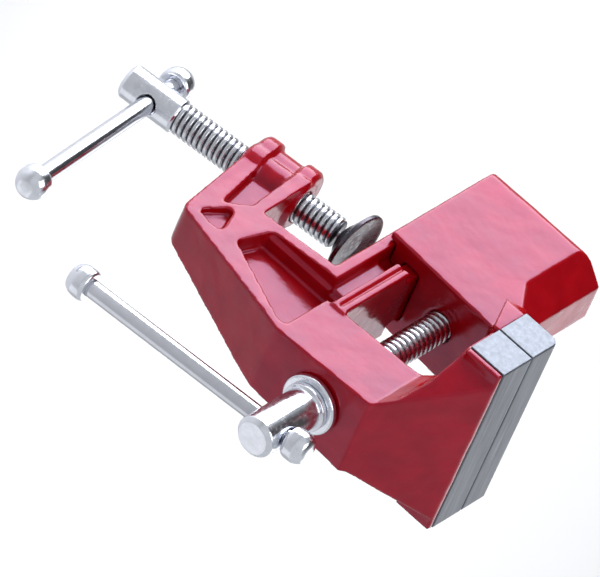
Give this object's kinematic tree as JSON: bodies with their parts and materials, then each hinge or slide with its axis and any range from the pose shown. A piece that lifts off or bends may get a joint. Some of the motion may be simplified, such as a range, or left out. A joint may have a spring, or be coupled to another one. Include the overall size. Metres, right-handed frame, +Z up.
{
  "type": "bench vise",
  "caption": "Clamp-on bench vise: C-shaped red casting with a fixed jaw, a jaw sliding on a rail, steel jaw plates, a lead screw and a table clamp screw with sliding bars.",
  "frame": {"origin": "on the seat that rests on the table top, straight below the line where the closed jaws meet, in the middle of the width", "axes": "+X along the lead screw from the operator's side to the rear, +Y along the jaws, +Z up away from the table"},
  "size_m": [0.1305, 0.06, 0.1468],
  "materials": {
    "casting_red": "gloss red enamel",
    "jaw_steel": "ground",
    "zinc": "bright zinc plate",
    "spring_steel": "dark spring steel",
    "bar_chrome": "polished",
    "pad_steel": "bright zinc plate"
  },
  "bodies": {
    "frame": {"frame_casting": "casting_red", "fixed_jaw_plate": "jaw_steel", "fixed_jaw_plate_screws": "zinc"},
    "jaw": {"sliding_jaw": "casting_red", "moving_jaw_plate": "jaw_steel", "moving_jaw_plate_screws": "zinc"},
    "lead": {"lead_screw": "zinc", "lead_thrust_washer": "zinc", "lead_inner_washer": "zinc", "lead_retaining_clip": "spring_steel"},
    "lead_handle": {"lead_bar": "bar_chrome", "lead_bar_knob_near": "zinc", "lead_bar_knob_far": "zinc"},
    "clamp_stud": {"clamp_ball_stud": "zinc"},
    "clamp": {"clamp_screw": "zinc"},
    "clamp_handle": {"clamp_bar": "bar_chrome", "clamp_bar_knob_near": "zinc", "clamp_bar_knob_far": "zinc"},
    "pad": {"clamp_pad": "pad_steel"}
  },
  "joints": [
    {"name": "lead_screw_turn", "type": "hinge", "parent": "frame", "child": "lead", "pos_m": [0, 0, 0.026], "axis": [1, 0, 0], "range_deg": [-7200, 0]},
    {"name": "jaw_slide", "type": "slide", "parent": "frame", "child": "jaw", "axis": [1, 0, 0], "range_m": [0, 0.04]},
    {"name": "lead_bar_slide", "type": "slide", "parent": "lead", "child": "lead_handle", "axis": [0, 0.0976, 0.9952], "range_m": [0, 0.0585]},
    {"name": "clamp_travel", "type": "slide", "parent": "frame", "child": "clamp_stud", "axis": [0.1219, 0, 0.9925], "range_m": [-0.008, 0.004]},
    {"name": "clamp_screw_turn", "type": "hinge", "parent": "clamp_stud", "child": "clamp", "pos_m": [0.0146, 0, -0.035], "axis": [0.1219, 0, 0.9925], "range_deg": [-1640, 820]},
    {"name": "clamp_bar_slide", "type": "slide", "parent": "clamp", "child": "clamp_handle", "axis": [0.9826, -0.1409, -0.1207], "range_m": [-0.0038, 0.057]},
    {"name": "clamp_pad_tilt", "type": "hinge", "parent": "clamp_stud", "child": "pad", "pos_m": [0.01767, 0, -0.00999], "axis": [0, 1, 0], "range_deg": [-8, 8]}
  ],
  "couplings": [
    {"joint": "jaw_slide", "follows": "lead_screw_turn", "m_per_rad": -0.00031831},
    {"joint": "clamp_travel", "follows": "clamp_screw_turn", "m_per_rad": 0.00027852}
  ]
}
